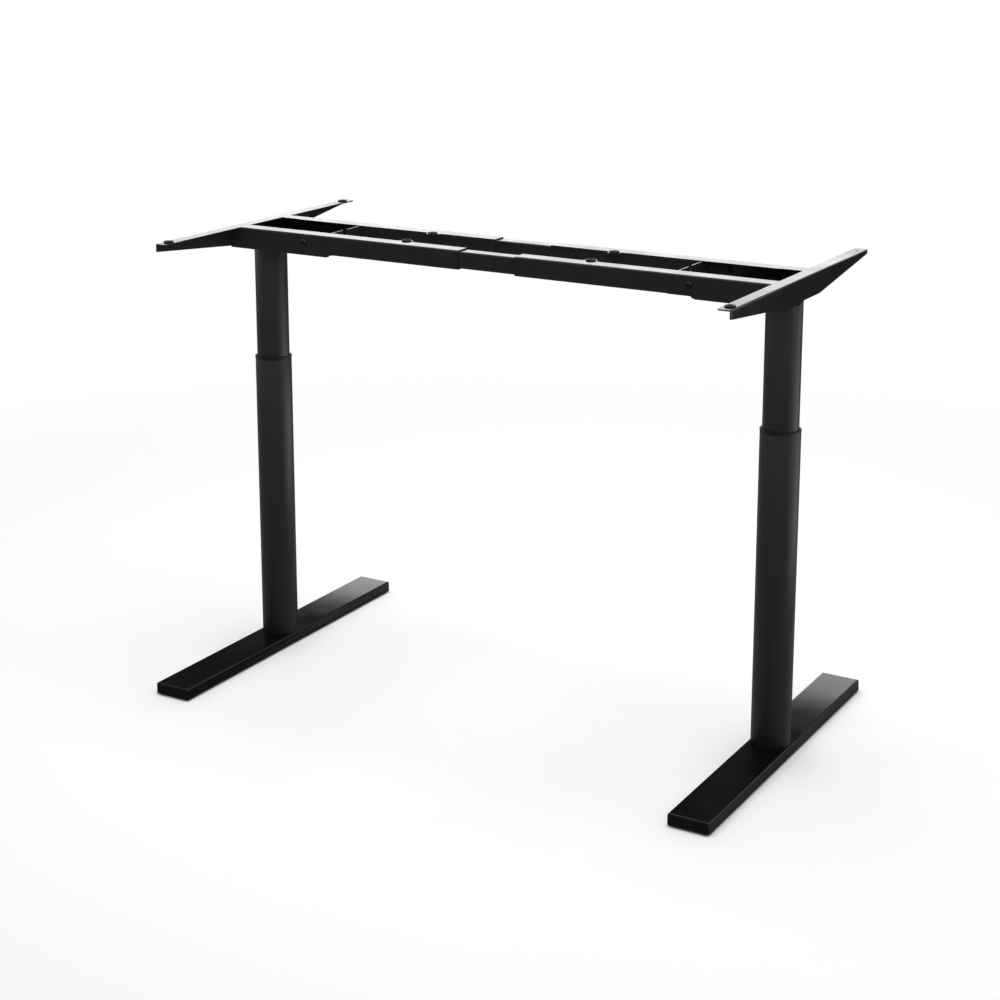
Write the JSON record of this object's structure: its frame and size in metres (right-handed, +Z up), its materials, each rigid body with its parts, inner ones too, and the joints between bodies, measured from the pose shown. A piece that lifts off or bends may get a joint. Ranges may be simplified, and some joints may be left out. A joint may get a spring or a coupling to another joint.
{
  "type": "standing desk frame",
  "caption": "Height-adjustable desk frame: telescopic round columns on flat feet, extending rails and tapered side brackets with rubber pads for a table top.",
  "frame": {"origin": "centre of the box's lower face, on the floor midway between the feet", "axes": "+X along the desk towards the right column, +Y from front to back, +Z up"},
  "size_m": [1.232, 0.74, 0.9275],
  "materials": {
    "powder_coat": "satin black powder coat on steel sheet and tube",
    "black_plastic": "moulded black nylon, fine matt texture",
    "pad_rubber": "moulded black rubber, matt",
    "zinc_steel": "bright zinc plating on steel",
    "black_steel": "black zinc plating on steel bolts",
    "motor_steel": "plain zinc-plated motor and gearbox housings",
    "bronze": "machined bronze nut"
  },
  "bodies": {
    "left_base": {"left_foot_shell": "powder_coat", "left_foot_cover": "powder_coat", "left_leveller_nuts": "zinc_steel", "left_column_base_plate": "powder_coat", "left_base_screws": "zinc_steel", "left_lower_tube": "powder_coat", "left_collar": "black_plastic", "left_nut_post": "zinc_steel", "left_spindle_nut": "bronze"},
    "left_front_leveller": {"left_front_leveller": "black_plastic"},
    "left_back_leveller": {"left_back_leveller": "black_plastic"},
    "left_head": {"left_upper_tube": "powder_coat", "left_glide_sleeve": "black_plastic", "left_head_plate": "powder_coat", "left_motor": "motor_steel", "left_gearbox": "motor_steel", "left_thrust_bearing": "zinc_steel", "left_motor_screws": "zinc_steel", "left_cable_gland": "black_plastic", "left_front_rail": "powder_coat", "left_back_rail": "powder_coat", "left_cross_plate": "powder_coat", "left_corner_angles": "powder_coat", "left_rail_bolts": "black_steel", "left_side_bracket": "powder_coat", "left_bracket_studs": "zinc_steel", "left_table_pads": "pad_rubber", "left_lock_screws": "black_steel"},
    "left_spindle": {"left_spindle": "zinc_steel"},
    "right_base": {"right_foot_shell": "powder_coat", "right_foot_cover": "powder_coat", "right_leveller_nuts": "zinc_steel", "right_column_base_plate": "powder_coat", "right_base_screws": "zinc_steel", "right_lower_tube": "powder_coat", "right_collar": "black_plastic", "right_nut_post": "zinc_steel", "right_spindle_nut": "bronze"},
    "right_front_leveller": {"right_front_leveller": "black_plastic"},
    "right_back_leveller": {"right_back_leveller": "black_plastic"},
    "right_head": {"right_upper_tube": "powder_coat", "right_glide_sleeve": "black_plastic", "right_head_plate": "powder_coat", "right_motor": "motor_steel", "right_gearbox": "motor_steel", "right_thrust_bearing": "zinc_steel", "right_motor_screws": "zinc_steel", "right_cable_gland": "black_plastic", "right_front_rail": "powder_coat", "right_back_rail": "powder_coat", "right_cross_plate": "powder_coat", "right_corner_angles": "powder_coat", "right_rail_bolts": "black_steel", "right_side_bracket": "powder_coat", "right_bracket_studs": "zinc_steel", "right_table_pads": "pad_rubber", "right_lock_screws": "black_steel"},
    "right_spindle": {"right_spindle": "zinc_steel"},
    "inserts": {"front_insert": "powder_coat", "back_insert": "powder_coat"}
  },
  "joints": [
    {"name": "left_lift", "type": "slide", "parent": "left_base", "child": "left_head", "axis": [0, 0, 1], "range_m": [-0.2, 0.24]},
    {"name": "right_lift", "type": "slide", "parent": "right_head", "child": "right_base", "axis": [0, 0, -1], "range_m": [-0.2, 0.24]},
    {"name": "left_width", "type": "slide", "parent": "left_head", "child": "inserts", "axis": [1, 0, 0], "range_m": [-0.06, 0.15]},
    {"name": "right_width", "type": "slide", "parent": "inserts", "child": "right_head", "axis": [1, 0, 0], "range_m": [-0.06, 0.15]},
    {"name": "left_spindle_turn", "type": "hinge", "parent": "left_head", "child": "left_spindle", "pos_m": [-0.575, 0, 0.6], "axis": [0, 0, 1], "range_deg": [-6001, 7201]},
    {"name": "left_front_level", "type": "slide", "parent": "left_base", "child": "left_front_leveller", "axis": [0, 0, -1], "range_m": [0, 0.008]},
    {"name": "left_back_level", "type": "slide", "parent": "left_base", "child": "left_back_leveller", "axis": [0, 0, -1], "range_m": [0, 0.008]},
    {"name": "right_spindle_turn", "type": "hinge", "parent": "right_head", "child": "right_spindle", "pos_m": [0.575, 0, 0.6], "axis": [0, 0, 1], "range_deg": [-6001, 7201]},
    {"name": "right_front_level", "type": "slide", "parent": "right_base", "child": "right_front_leveller", "axis": [0, 0, -1], "range_m": [0, 0.008]},
    {"name": "right_back_level", "type": "slide", "parent": "right_base", "child": "right_back_leveller", "axis": [0, 0, -1], "range_m": [0, 0.008]}
  ],
  "couplings": [
    {"joint": "right_lift", "follows": "left_lift", "ratio": 1},
    {"joint": "left_spindle_turn", "follows": "left_lift", "rad_per_m": 523.6},
    {"joint": "right_spindle_turn", "follows": "left_lift", "rad_per_m": 523.6}
  ]
}
